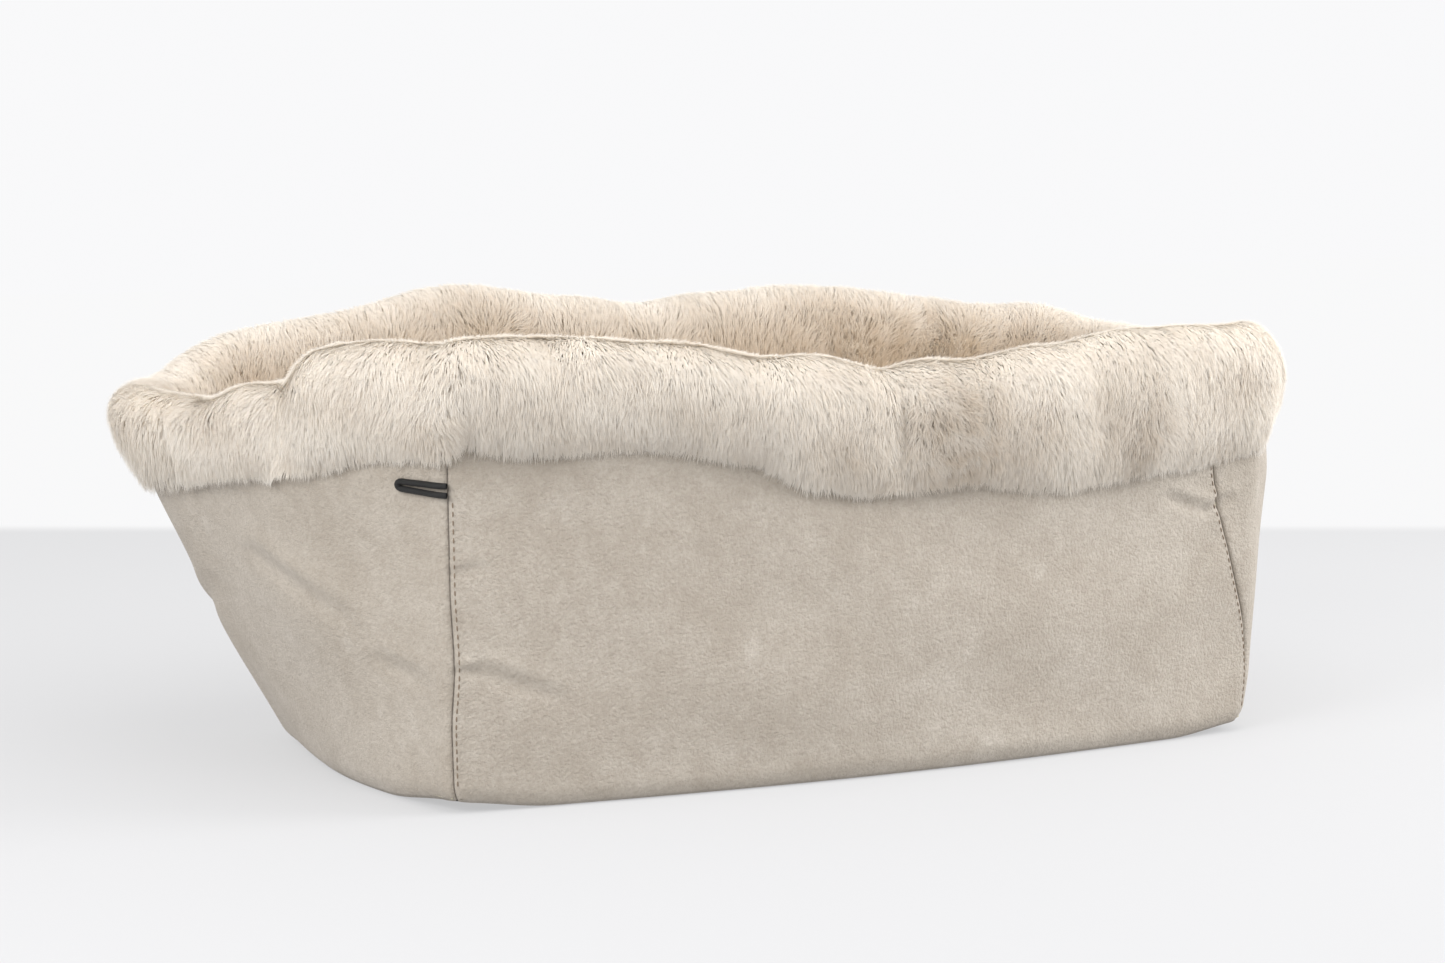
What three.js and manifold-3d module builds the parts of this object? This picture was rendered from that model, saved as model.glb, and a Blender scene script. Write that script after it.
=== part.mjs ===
// Soft-sided pet bed: a stone-coloured shell with a flat front and a flared, rounded back,
// padded walls, a faux-fur lining turned down over the rim as a cuff, and a loose boxed cushion.
// Millimetres, +Z up. The origin is at the middle of the underside, and the front faces -Y.
import * as THREE from 'three';
import { mergeVertices } from 'three/addons/utils/BufferGeometryUtils.js';
import Module from 'manifold-3d';

const GAP = 0.3; // between pieces that touch
const SEAM_GAP = 0.5; // between two panels that meet edge to edge
const LINING_GAP = 0.6; // between the wall padding and the fur's backing

// Plan of the shell at the floor, and how it opens out with height.
const FRONT_WIDTH = 462;
const BASE_DEPTH = 251;
const SIDE_FLARE = 0.81; // sideways move of each back corner, per unit of height
const BACK_FLARE = 0.23; // rearward move of the back wall, per unit of height
const FRONT_BOW = 15; // how far the front swells forward at its middle
const SIDE_BOW = 12; // how far each side swells past a straight line
const FRONT_CORNER_R = 14;
const BACK_CORNER_R = 56;
const BACK_CORNER_GROWTH = 0.23; // how much that radius gains, per unit of height

// Height of the padded wall, and of the cuff's free hem, at five places round half of the bed.
const RIM = { frontCentre: 172, frontCorner: 194, side: 173, backCorner: 203, backCentre: 195 };
const HEM = { frontCentre: 133, frontCorner: 163, side: 143, backCorner: 155, backCentre: 150 };
const SIDE_DIP = 0.75; // share of the straight side at which both are lowest

// Thicknesses, measured level through the wall.
const SHELL_T = 2;
const WALL_FOAM_T = 15;
const PILE = 14; // fur with its backing
const CUFF_GAP = 1.2; // the cuff hangs a little clear of the shell

const BASE_PANEL_T = 2;
const BOARD_T = 3;
const FLOOR_LINING_T = 2;

// Elastic loops, sewn into the front corner seams just below the cuff.
const ELASTIC_D = 3;
const LOOP_Z = 152;
const LOOP_W = 7; // over both runs
const LOOP_REACH = 30;
const LOOP_START = 3.2; // clear of the seam that holds both ends

// Loose cushion.
const CUSHION_ROOM = 5; // between its sides and the fur
const CUSHION_BACK_ROOM = 14; // behind it, where the zip puller swings
const CUSHION_H = 46;
const CUSHION_CORNER_R = 28;
const COVER_T = 1.2;
const BOXING_T = 1.5;

// Zip in the back of the cushion cover.
const CHAIN_H = 5;
const CHAIN_T = 3;
const TAPE_H = 5;
const TAPE_T = 0.8;
const STOP_L = 3;
const SLIDER_L = 11;
const SLIDER_T = 1.2;
const BAIL_L = 6;
const BAIL_H = 3.2;
const BAIL_W = 2.4;
const BAIL_WALL = 1;
const BAIL_PLAY = 0.5; // round the bail, in the puller's window
const PULLER_L = 12;
const PULLER_W = 7;
const PULLER_T = 1;

// Number of straight facets in each stretch of half of the outline.
const FACETS = { front: 6, frontCorner: 4, side: 8, backCorner: 8, back: 6 };
const WALL_ROWS = 8;
const CUFF_ROWS = 3;
const ROLL_FACETS = 6;

const FRONT_Y = -BASE_DEPTH / 2;
const BACK_Y = BASE_DEPTH / 2;
const FOAM_IN = SHELL_T + GAP; // depth of each layer behind the shell's outer face
const FUR_IN = FOAM_IN + WALL_FOAM_T + LINING_GAP;
const WELL_IN = FUR_IN + PILE;
const BOARD_Z = BASE_PANEL_T + GAP;
const LINING_Z = BOARD_Z + BOARD_T + GAP;
const FLOOR_Z = LINING_Z + FLOOR_LINING_T + GAP;

const STRETCHES = Object.values(FACETS);
const HALF = STRETCHES.reduce((sum, n) => sum + n, 0);
const SEAM = FACETS.front + FACETS.frontCorner / 2; // station of the front corner seam
const BACK_START = HALF - FACETS.back; // station where the straight back begins

// The corner of two offset edges: edge directions a and b, inward offsets ia and ib.
function offsetCorner(corner, a, b, ia, ib) {
  const na = new THREE.Vector2(-a.y, a.x);
  const nb = new THREE.Vector2(-b.y, b.x);
  const dot = na.dot(nb);
  const ka = (ia - ib * dot) / (1 - dot * dot);
  const kb = (ib - ia * dot) / (1 - dot * dot);
  return corner.clone().addScaledVector(na, ka).addScaledVector(nb, kb);
}

// A round corner between edge directions a and b.
function fillet(corner, a, b, radius) {
  const turn = Math.acos(THREE.MathUtils.clamp(a.dot(b), -1, 1));
  const reach = radius * Math.tan(turn / 2);
  const start = corner.clone().addScaledVector(a, -reach);
  const centre = start.clone().add(new THREE.Vector2(-a.y, a.x).multiplyScalar(radius));
  const end = corner.clone().addScaledVector(b, reach);
  return { start, end, centre, turn, radius, from: Math.atan2(-a.x, a.y) };
}

function arcPoint(arc, share) {
  const angle = arc.from + arc.turn * share;
  const out = new THREE.Vector2(Math.cos(angle), Math.sin(angle));
  return { at: arc.centre.clone().addScaledVector(out, arc.radius), out };
}

function linePoint(from, to, share, swell = 0) {
  const along = to.clone().sub(from).normalize();
  const out = new THREE.Vector2(along.y, -along.x);
  return { at: from.clone().lerp(to, share).addScaledVector(out, swell), out };
}

// The point at a station of the outline, at height z and inset from the shell's outer face.
// Stations run from 0 at the front's middle to HALF at the back's, and are negative on the left.
function outline(station, z, { inset = 0, backInset = inset, least = 6 } = {}) {
  const corner1 = new THREE.Vector2(FRONT_WIDTH / 2, FRONT_Y);
  const corner2 = new THREE.Vector2(FRONT_WIDTH / 2 + SIDE_FLARE * z, BACK_Y + BACK_FLARE * z);
  const front = new THREE.Vector2(1, 0);
  const side = corner2.clone().sub(corner1).normalize();
  const back = new THREE.Vector2(-1, 0);
  const frontRadius = Math.max(FRONT_CORNER_R - inset, least);
  const backRadius = Math.max(BACK_CORNER_R + BACK_CORNER_GROWTH * z - inset, least);
  const arc1 = fillet(offsetCorner(corner1, front, side, inset, inset), front, side, frontRadius);
  const arc2 = fillet(offsetCorner(corner2, side, back, inset, backInset), side, back, backRadius);
  const frontMiddle = new THREE.Vector2(0, arc1.start.y);
  const backMiddle = new THREE.Vector2(0, arc2.end.y);
  const parts = [
    (share) =>
      linePoint(frontMiddle, arc1.start, share, FRONT_BOW * Math.cos((Math.PI / 2) * share)),
    (share) => arcPoint(arc1, share),
    (share) => linePoint(arc1.end, arc2.start, share, SIDE_BOW * Math.sin(Math.PI * share)),
    (share) => arcPoint(arc2, share),
    (share) => linePoint(arc2.end, backMiddle, share),
  ];
  let left = Math.abs(station);
  let part = 0;
  while (part < parts.length - 1 && left > STRETCHES[part]) {
    left -= STRETCHES[part];
    part += 1;
  }
  const { at, out } = parts[part](left / STRETCHES[part]);
  const mirror = station < 0 ? -1 : 1;
  return {
    at: new THREE.Vector3(mirror * at.x, at.y, z),
    along: new THREE.Vector3(-out.y, mirror * out.x, 0),
  };
}

// A height that changes smoothly between the five named places.
function heightAt(heights, station) {
  const places = [
    [0, heights.frontCentre],
    [SEAM, heights.frontCorner],
    [FACETS.front + FACETS.frontCorner + FACETS.side * SIDE_DIP, heights.side],
    [BACK_START - FACETS.backCorner / 2, heights.backCorner],
    [HALF, heights.backCentre],
  ];
  const at = Math.abs(station);
  const next = Math.max(1, places.findIndex(([place]) => place >= at));
  const [[from, low], [to, high]] = [places[next - 1], places[next]];
  return low + (high - low) * THREE.MathUtils.smoothstep(at, from, to);
}

// Splits the cells of a block's inner face along the same diagonals as its outer face, so that
// the twisted cells of two layers lie parallel.
function splitAlike(index, { start, count }) {
  for (let k = start; k < start + count; k += 6) {
    const [a, b, d, , c] = index.slice(k, k + 6);
    index.set([a, b, c, a, c, d], k);
  }
}

// A closed block of cells, each corner placed by its counts along, up and through the piece.
function mappedBlock(across, up, place) {
  const geometry = new THREE.BoxGeometry(1, 1, 1, across, up, 1);
  geometry.deleteAttribute('normal');
  geometry.deleteAttribute('uv');
  const merged = mergeVertices(geometry);
  splitAlike(merged.index.array, geometry.groups[5]);
  const corners = merged.attributes.position;
  for (let k = 0; k < corners.count; k += 1) {
    const i = Math.round((corners.getX(k) + 0.5) * across);
    const j = Math.round((corners.getY(k) + 0.5) * up);
    const spot = place(i, j, Math.round(corners.getZ(k) + 0.5));
    corners.setXYZ(k, spot.x, spot.y, spot.z);
  }
  merged.computeVertexNormals();
  return merged;
}

// A piece of wall between two stations. section(station, row, layer) gives height and inset.
function wallPiece(from, to, rows, section, options = {}) {
  const count = to - from;
  return mappedBlock(count, rows, (i, j, k) => {
    const { z, inset } = section(from + i, j, k);
    const { at, along } = outline(from + i, z, { ...options, inset });
    const pull = i === 0 ? SEAM_GAP / 2 : i === count ? -SEAM_GAP / 2 : 0;
    return at.addScaledVector(along, pull);
  });
}

// A layer of the upright wall, from its bottom height up to the rim.
function wallLayer(from, to, bottom, outer, thickness) {
  return wallPiece(from, to, WALL_ROWS, (station, row, layer) => ({
    z: Math.max(bottom, (heightAt(RIM, station) * row) / WALL_ROWS),
    inset: outer + (layer ? 0 : thickness),
  }));
}

// A flat piece that fills the plan at one height.
function planPlate(z, thickness, insets) {
  const points = [];
  for (let station = 1 - HALF; station <= HALF; station += 1) {
    const { at } = outline(station, z, insets);
    points.push(new THREE.Vector2(at.x, at.y));
  }
  const shape = new THREE.Shape(points);
  const plate = new THREE.ExtrudeGeometry(shape, { depth: thickness, bevelEnabled: false });
  return plate.translate(0, 0, z);
}

function block(x0, x1, y0, y1, z0, z1) {
  const geometry = new THREE.BoxGeometry(x1 - x0, y1 - y0, z1 - z0);
  return geometry.translate((x0 + x1) / 2, (y0 + y1) / 2, (z0 + z1) / 2);
}

// Materials.
function finish(color, roughness, metalness = 0) {
  return () => new THREE.MeshStandardMaterial({ color, roughness, metalness });
}

const nubuck = finish('#b6ab9d', 0.78);
const fur = finish('#dcd2c1', 0.95);
const foam = finish('#e9e3cf', 0.9);
const board = finish('#6b6258', 0.7);
const liningCloth = finish('#b9ae9f', 0.85);
const elastic = finish('#1d1c1b', 0.6);
const zipCloth = finish('#8f857a', 0.85);
const zipMetal = finish('#9a9a98', 0.35, 1);

const bed = new THREE.Group();

function add(name, geometry, material, parent = bed) {
  const mesh = new THREE.Mesh(geometry, material());
  mesh.name = name;
  parent.add(mesh);
  return mesh;
}

// Shell: a front panel, two panels that wrap from the front seams to a seam at the back's
// middle, and a base panel sewn inside their bottom edges.
add('shell_front_panel', wallLayer(-SEAM, SEAM, 0, 0, SHELL_T), nubuck);
add('shell_left_wrap_panel', wallLayer(-HALF, -SEAM, 0, 0, SHELL_T), nubuck);
add('shell_right_wrap_panel', wallLayer(SEAM, HALF, 0, 0, SHELL_T), nubuck);
add('shell_base_panel', planPlate(0, BASE_PANEL_T, { inset: FOAM_IN + GAP }), nubuck);

// Wall padding, one pad behind each shell panel.
add('wall_foam_front', wallLayer(-SEAM, SEAM, BOARD_Z, FOAM_IN, WALL_FOAM_T), foam);
add('wall_foam_left', wallLayer(-HALF, -SEAM, BOARD_Z, FOAM_IN, WALL_FOAM_T), foam);
add('wall_foam_right', wallLayer(SEAM, HALF, BOARD_Z, FOAM_IN, WALL_FOAM_T), foam);

// Floor inside the padding: a stiff board, and the lining's cloth floor over it.
add('base_board', planPlate(BOARD_Z, BOARD_T, { inset: FUR_IN + GAP }), board);
add('lining_floor', planPlate(LINING_Z, FLOOR_LINING_T, { inset: FUR_IN + GAP }), liningCloth);

// Fur lining: up the inside of the wall, over the rim, and down the outside to a free hem.
function furSection(station, row, layer) {
  const rim = heightAt(RIM, station);
  const pile = layer ? 0 : PILE;
  if (row <= WALL_ROWS) {
    return { z: Math.max(FLOOR_Z, (rim * row) / WALL_ROWS), inset: FUR_IN + pile };
  }
  if (row <= WALL_ROWS + ROLL_FACETS) {
    const angle = Math.PI * (1 - (row - WALL_ROWS) / ROLL_FACETS);
    const radius = (FUR_IN + CUFF_GAP) / 2;
    const reach = radius + pile;
    return { z: rim + reach * Math.sin(angle), inset: FUR_IN - radius - reach * Math.cos(angle) };
  }
  const share = (row - WALL_ROWS - ROLL_FACETS) / CUFF_ROWS;
  return { z: rim + (heightAt(HEM, station) - rim) * share, inset: -CUFF_GAP - pile };
}
const FUR_ROWS = WALL_ROWS + ROLL_FACETS + CUFF_ROWS;
add('fur_lining_left', wallPiece(-HALF, 0, FUR_ROWS, furSection), fur);
add('fur_lining_right', wallPiece(0, HALF, FUR_ROWS, furSection), fur);

// Elastic loops: a hairpin of round cord that lies back along the side panel.
function elasticLoop(side) {
  const tipRadius = (LOOP_W - ELASTIC_D) / 2;
  const root = outline(side * SEAM, LOOP_Z).at;
  const lift = -(GAP + ELASTIC_D / 2);
  // Walks round the panel in small steps until it is this far from the seam.
  const onPanel = (reach, dz) => {
    const step = 0.02;
    let station = SEAM;
    let spot = outline(side * station, LOOP_Z + dz, { inset: lift }).at;
    while (Math.hypot(spot.x - root.x, spot.y - root.y) < reach) {
      station += step;
      spot = outline(side * station, LOOP_Z + dz, { inset: lift }).at;
    }
    return spot;
  };
  const straight = LOOP_REACH - LOOP_W / 2;
  const reaches = [0, 1, 2, 3, 4].map((k) => LOOP_START + ((straight - LOOP_START) * k) / 4);
  const points = [
    ...reaches.map((reach) => onPanel(reach, tipRadius)),
    onPanel(straight + tipRadius, 0),
    ...reaches.reverse().map((reach) => onPanel(reach, -tipRadius)),
  ];
  const route = new THREE.CatmullRomCurve3(points);
  const section = new THREE.Shape();
  section.absarc(0, 0, ELASTIC_D / 2, 0, 2 * Math.PI);
  const options = { steps: 44, curveSegments: 4, extrudePath: route, bevelEnabled: false };
  return new THREE.ExtrudeGeometry(section, options);
}
add('elastic_loop_left', elasticLoop(-1), elastic);
add('elastic_loop_right', elasticLoop(1), elastic);

// Cushion: a foam pad in a cover of two panels and a boxing strip. The zip closes the
// straight stretch at the back.
const CUSHION_INSET = WELL_IN + CUSHION_ROOM;
const CUSHION_PLAN = {
  inset: CUSHION_INSET,
  backInset: WELL_IN + CUSHION_BACK_ROOM,
  least: CUSHION_CORNER_R,
};
const PAD_PLAN = {
  inset: CUSHION_INSET + BOXING_T + GAP,
  backInset: CUSHION_PLAN.backInset + BOXING_T + GAP,
  least: CUSHION_CORNER_R - BOXING_T - GAP,
};
const BOTTOM_Z = FLOOR_Z;
const BOXING_Z0 = BOTTOM_Z + COVER_T + GAP;
const BOXING_Z1 = BOTTOM_Z + CUSHION_H - COVER_T - GAP;
const MID_Z = (BOXING_Z0 + BOXING_Z1) / 2;

// The cushion's outline keeps the floor's plan all the way up.
function cushionPlate(z, thickness, plan) {
  return planPlate(FLOOR_Z, thickness, plan).translate(0, 0, z - FLOOR_Z);
}

function boxingStrip() {
  return mappedBlock(2 * BACK_START, 1, (i, j, k) => {
    const depth = k ? 0 : BOXING_T;
    const plan = {
      inset: CUSHION_INSET + depth,
      backInset: CUSHION_PLAN.backInset + depth,
      least: CUSHION_CORNER_R - depth,
    };
    const { at } = outline(i - BACK_START, FLOOR_Z, plan);
    return new THREE.Vector3(at.x, at.y, j ? BOXING_Z1 : BOXING_Z0);
  });
}

const zipEnd = outline(BACK_START, FLOOR_Z, CUSHION_PLAN).at;
const ZIP_HALF = zipEnd.x - SEAM_GAP;
const ZIP_Y = zipEnd.y; // outer face of the boxing at the back

function zipStrip(z0, z1, thickness) {
  const middle = ZIP_Y - BOXING_T / 2;
  return block(-ZIP_HALF, ZIP_HALF, middle - thickness / 2, middle + thickness / 2, z0, z1);
}

add('cushion_cover_bottom', cushionPlate(BOTTOM_Z, COVER_T, CUSHION_PLAN), liningCloth);
add('cushion_cover_boxing', boxingStrip(), liningCloth);
add('cushion_cover_top', cushionPlate(BOXING_Z1 + GAP, COVER_T, CUSHION_PLAN), fur);
add('cushion_foam_pad', cushionPlate(BOXING_Z0, BOXING_Z1 - BOXING_Z0, PAD_PLAN), foam);

const CHAIN_TOP = MID_Z + CHAIN_H / 2;
const CHAIN_BOTTOM = MID_Z - CHAIN_H / 2;
const TAPE_TOP = CHAIN_TOP + GAP + TAPE_H;
const TAPE_BOTTOM = CHAIN_BOTTOM - GAP - TAPE_H;
add('cushion_back_strip_upper', zipStrip(TAPE_TOP + GAP, BOXING_Z1, BOXING_T), liningCloth);
add('cushion_back_strip_lower', zipStrip(BOXING_Z0, TAPE_BOTTOM - GAP, BOXING_T), liningCloth);
add('zip_tape_upper', zipStrip(CHAIN_TOP + GAP, TAPE_TOP, TAPE_T), zipCloth);
add('zip_tape_lower', zipStrip(TAPE_BOTTOM, CHAIN_BOTTOM - GAP, TAPE_T), zipCloth);

// Closed zip chain between two stops that stand proud enough to stop the slider.
const CHAIN_HALF = ZIP_HALF - STOP_L - GAP;
const CHAIN_Y0 = ZIP_Y - CHAIN_T / 2;
const CHAIN_Y1 = ZIP_Y + CHAIN_T / 2;
const SLIDER_Y = CHAIN_Y1 + GAP;
const PLATE_Y = SLIDER_Y + SLIDER_T;
const chain = block(-CHAIN_HALF, CHAIN_HALF, CHAIN_Y0, CHAIN_Y1, CHAIN_BOTTOM, CHAIN_TOP);
add('zip_chain', chain, zipCloth);
for (const [name, side] of [['zip_stop_left', -1], ['zip_stop_right', 1]]) {
  const ends = [side * ZIP_HALF, side * (ZIP_HALF - STOP_L)].sort((a, b) => a - b);
  add(name, block(...ends, CHAIN_Y0, PLATE_Y, CHAIN_BOTTOM, CHAIN_TOP), zipMetal);
}

// Slider: a channel over the chain, with a bail across its outer face for the puller.
const SLIDER_X = -ZIP_HALF + STOP_L + GAP + SLIDER_L / 2;
const wasm = await Module();
wasm.setup();

function toSolid(geometry) {
  geometry.deleteAttribute('normal');
  geometry.deleteAttribute('uv');
  const merged = mergeVertices(geometry);
  const vertProperties = new Float32Array(merged.attributes.position.array);
  const triVerts = new Uint32Array(merged.index.array);
  return new wasm.Manifold(new wasm.Mesh({ numProp: 3, vertProperties, triVerts }));
}

function fromSolid(solid) {
  const { vertProperties, triVerts } = solid.getMesh();
  const geometry = new THREE.BufferGeometry();
  geometry.setAttribute('position', new THREE.BufferAttribute(vertProperties, 3));
  geometry.setIndex(new THREE.BufferAttribute(triVerts, 1));
  geometry.computeVertexNormals();
  return geometry;
}

function sliderChannel() {
  const inside = CHAIN_H / 2 + GAP;
  const outside = inside + SLIDER_T;
  const lip = ZIP_Y + GAP;
  const section = new THREE.Shape([
    new THREE.Vector2(lip, outside),
    new THREE.Vector2(lip, inside),
    new THREE.Vector2(SLIDER_Y, inside),
    new THREE.Vector2(SLIDER_Y, -inside),
    new THREE.Vector2(lip, -inside),
    new THREE.Vector2(lip, -outside),
    new THREE.Vector2(PLATE_Y, -outside),
    new THREE.Vector2(PLATE_Y, outside),
  ]);
  // The section's x runs outwards along Y and its y along Z, and it is swept along X.
  const channel = new THREE.ExtrudeGeometry(section, { depth: SLIDER_L, bevelEnabled: false });
  channel.rotateX(Math.PI / 2).rotateZ(Math.PI / 2);
  return channel.translate(-SLIDER_L / 2, 0, 0);
}

function sliderBail() {
  const foot = -SLIDER_T / 2; // the bail's feet run into the channel's plate
  const arch = new THREE.Shape();
  arch.moveTo(-BAIL_L / 2, foot);
  arch.lineTo(BAIL_L / 2, foot);
  arch.lineTo(BAIL_L / 2, BAIL_H - BAIL_WALL);
  arch.absarc(BAIL_L / 2 - BAIL_WALL, BAIL_H - BAIL_WALL, BAIL_WALL, 0, Math.PI / 2);
  arch.absarc(-BAIL_L / 2 + BAIL_WALL, BAIL_H - BAIL_WALL, BAIL_WALL, Math.PI / 2, Math.PI);
  const eye = new THREE.Path();
  const half = BAIL_L / 2 - BAIL_WALL;
  eye.setFromPoints([
    new THREE.Vector2(-half, 0),
    new THREE.Vector2(-half, BAIL_H - BAIL_WALL),
    new THREE.Vector2(half, BAIL_H - BAIL_WALL),
    new THREE.Vector2(half, 0),
  ]);
  arch.holes.push(eye);
  const options = { depth: BAIL_W, bevelEnabled: false, curveSegments: 3 };
  return new THREE.ExtrudeGeometry(arch, options).translate(0, PLATE_Y, -BAIL_W / 2);
}

const sliderBody = fromSolid(toSolid(sliderChannel()).add(toSolid(sliderBail())));
add('zip_slider', sliderBody, zipMetal).position.set(SLIDER_X, 0, MID_Z);

// Puller: a flat tab whose end bar turns in the bail. At rest it lies flat, away from the stop.
function pullerTab() {
  const end = PULLER_T / 2;
  const half = PULLER_W / 2;
  const nose = PULLER_W / 3;
  const tab = new THREE.Shape();
  tab.moveTo(-end, -half);
  tab.lineTo(PULLER_L - nose, -half);
  tab.absarc(PULLER_L - nose, -half + nose, nose, -Math.PI / 2, 0);
  tab.absarc(PULLER_L - nose, half - nose, nose, 0, Math.PI / 2);
  tab.lineTo(-end, half);
  const window = new THREE.Path();
  const windowHalf = BAIL_W / 2 + BAIL_PLAY;
  const windowEnd = Math.hypot(BAIL_L / 2, BAIL_H) + BAIL_PLAY;
  window.setFromPoints([
    new THREE.Vector2(end, -windowHalf),
    new THREE.Vector2(end, windowHalf),
    new THREE.Vector2(windowEnd, windowHalf),
    new THREE.Vector2(windowEnd, -windowHalf),
  ]);
  tab.holes.push(window);
  const options = { depth: PULLER_T, bevelEnabled: false, curveSegments: 4 };
  // The tab's plane is upright, its length along X.
  return new THREE.ExtrudeGeometry(tab, options).translate(0, 0, -PULLER_T / 2).rotateX(Math.PI / 2);
}
const PIVOT_Y = PLATE_Y + (BAIL_H - BAIL_WALL) / 2;
add('zip_puller', pullerTab(), zipMetal).position.set(SLIDER_X, PIVOT_Y, MID_Z);

export default bed;
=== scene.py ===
import bpy
import math
import numpy as np
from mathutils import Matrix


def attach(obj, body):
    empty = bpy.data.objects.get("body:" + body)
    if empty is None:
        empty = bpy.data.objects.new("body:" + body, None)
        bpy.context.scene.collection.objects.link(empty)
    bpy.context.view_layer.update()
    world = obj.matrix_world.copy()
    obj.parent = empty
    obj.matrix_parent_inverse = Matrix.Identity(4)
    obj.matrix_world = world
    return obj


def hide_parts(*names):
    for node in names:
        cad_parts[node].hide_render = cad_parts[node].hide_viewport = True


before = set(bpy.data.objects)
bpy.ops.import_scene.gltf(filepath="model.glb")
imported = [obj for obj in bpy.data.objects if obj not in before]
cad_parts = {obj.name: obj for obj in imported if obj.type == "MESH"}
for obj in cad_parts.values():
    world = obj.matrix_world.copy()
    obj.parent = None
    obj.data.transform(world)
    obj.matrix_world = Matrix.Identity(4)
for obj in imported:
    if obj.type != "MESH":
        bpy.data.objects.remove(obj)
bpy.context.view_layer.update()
bpy.ops.object.select_all(action="DESELECT")


# Camera, standing a metre and a half off the bed's front left corner, a little above the rim.
bpy.ops.object.camera_add(
    location=(-0.851, -1.5625, 0.3345),
    rotation=(math.radians(83.5), 0, math.radians(-28)),
)
camera = bpy.context.object
camera.data.lens = 85
camera.data.sensor_width = 36
camera.data.clip_start = 0.05
bpy.context.scene.camera = camera


# Elastic loops: a hairpin of 3 mm round braided elastic, sewn into each front corner seam
# just below the cuff, and lying back along the side panel. The ends go into the seam.
FRONT_WIDTH = 0.462
BASE_DEPTH = 0.251
SIDE_FLARE = 0.81
BACK_FLARE = 0.23
FRONT_BOW = 0.015
SIDE_BOW = 0.012
FRONT_CORNER_R = 0.014
BACK_CORNER_R = 0.056
BACK_CORNER_GROWTH = 0.23
STRETCH_ENDS = (6, 10, 18, 26, 32)  # stations: front, front corner, side, back corner, back
SEAM = 8
HALF = 32
ELASTIC_D = 0.003
LOOP_Z = 0.152
LOOP_W = 0.007
LOOP_REACH = 0.027


def turned_left(way):
    return np.stack([-way[..., 1], way[..., 0]], -1)


def outline(station, z, inset=0.0, back_inset=None, least=0.006):
    """Plan points at stations round the shell, 0 at the front's middle and 32 at the back's,
    negative on the left, at height z and inset from the shell's outer face."""
    station, z, inset = np.broadcast_arrays(*(np.asarray(v, float) for v in (station, z, inset)))
    back_inset = inset if back_inset is None else inset * 0 + back_inset
    corner1 = np.stack([0 * z + FRONT_WIDTH / 2, 0 * z - BASE_DEPTH / 2], -1)
    corner2 = corner1 + np.stack([SIDE_FLARE * z, BASE_DEPTH + BACK_FLARE * z], -1)
    front = np.broadcast_to(np.array([1.0, 0.0]), corner1.shape)
    side = corner2 - corner1
    side = side / np.linalg.norm(side, axis=-1, keepdims=True)
    back = -front

    def round_corner(corner, a, b, radius, inset_b):
        dot = (a * b).sum(-1)
        push_a = ((inset - inset_b * dot) / (1 - dot * dot))[..., None]
        push_b = ((inset_b - inset * dot) / (1 - dot * dot))[..., None]
        corner = corner + turned_left(a) * push_a + turned_left(b) * push_b
        turn = np.arccos(np.clip(dot, -1, 1))
        reach = (radius * np.tan(turn / 2))[..., None]
        start = corner - a * reach
        centre = start + turned_left(a) * radius[..., None]
        return start, corner + b * reach, centre, turn, radius, np.arctan2(-a[..., 0], a[..., 1])

    def arc(corner, share):
        angle = corner[5] + corner[3] * share
        return corner[2] + np.stack([np.cos(angle), np.sin(angle)], -1) * corner[4][..., None]

    def line(a, b, share, swell):
        way = (b - a) / np.linalg.norm(b - a, axis=-1, keepdims=True)
        return a + (b - a) * share[..., None] - turned_left(way) * swell[..., None]

    radius1 = np.maximum(FRONT_CORNER_R - inset, least)
    radius2 = np.maximum(BACK_CORNER_R + BACK_CORNER_GROWTH * z - inset, least)
    near = round_corner(corner1, front, side, radius1, inset)
    far = round_corner(corner2, side, back, radius2, back_inset)
    front_middle = near[0] * (0, 1)
    back_middle = far[1] * (0, 1)
    at = np.abs(station)
    starts = (0,) + STRETCH_ENDS[:-1]
    shares = [np.clip((at - a) / (b - a), 0, 1) for a, b in zip(starts, STRETCH_ENDS)]
    stretches = [
        line(front_middle, near[0], shares[0], FRONT_BOW * np.cos(shares[0] * np.pi / 2)),
        arc(near, shares[1]),
        line(near[1], far[0], shares[2], SIDE_BOW * np.sin(shares[2] * np.pi)),
        arc(far, shares[3]),
        line(far[1], back_middle, shares[4], 0 * z),
    ]
    chosen = stretches[-1]
    for stretch, end in zip(stretches[-2::-1], STRETCH_ENDS[-2::-1]):
        chosen = np.where((at <= end)[..., None], stretch, chosen)
    x = chosen[..., 0] * np.where(station < 0, -1, 1)
    return np.stack([x, chosen[..., 1], z], -1)


def outward(station, z):
    """Level unit vectors out of the wall."""
    before = outline(np.asarray(station) - 0.05, z)
    after = outline(np.asarray(station) + 0.05, z)
    along = after - before
    out = np.stack([along[..., 1], -along[..., 0], 0 * along[..., 0]], -1)
    return unit(out)


def unit(v):
    return v / np.linalg.norm(v, axis=-1, keepdims=True)


def corners_of(piece):
    corners = np.empty(len(piece.data.vertices) * 3)
    piece.data.vertices.foreach_get("co", corners)
    return corners.reshape(-1, 3)


def move_corners(piece, spots):
    piece.data.vertices.foreach_set("co", np.ascontiguousarray(spots).ravel())
    piece.data.update()


def woven_grid(name, place, columns, rows):
    """A new grid with its corners set by place(across, up), two shares from 0 to 1. Its UV map
    keeps the shares."""
    bpy.ops.mesh.primitive_grid_add(x_subdivisions=columns, y_subdivisions=rows, size=1)
    piece = bpy.context.object
    piece.name = name
    flat = corners_of(piece)
    move_corners(piece, place(flat[:, 0] + 0.5, flat[:, 1] + 0.5))
    bpy.ops.object.shade_smooth()
    bpy.ops.object.select_all(action="DESELECT")
    return piece


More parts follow.
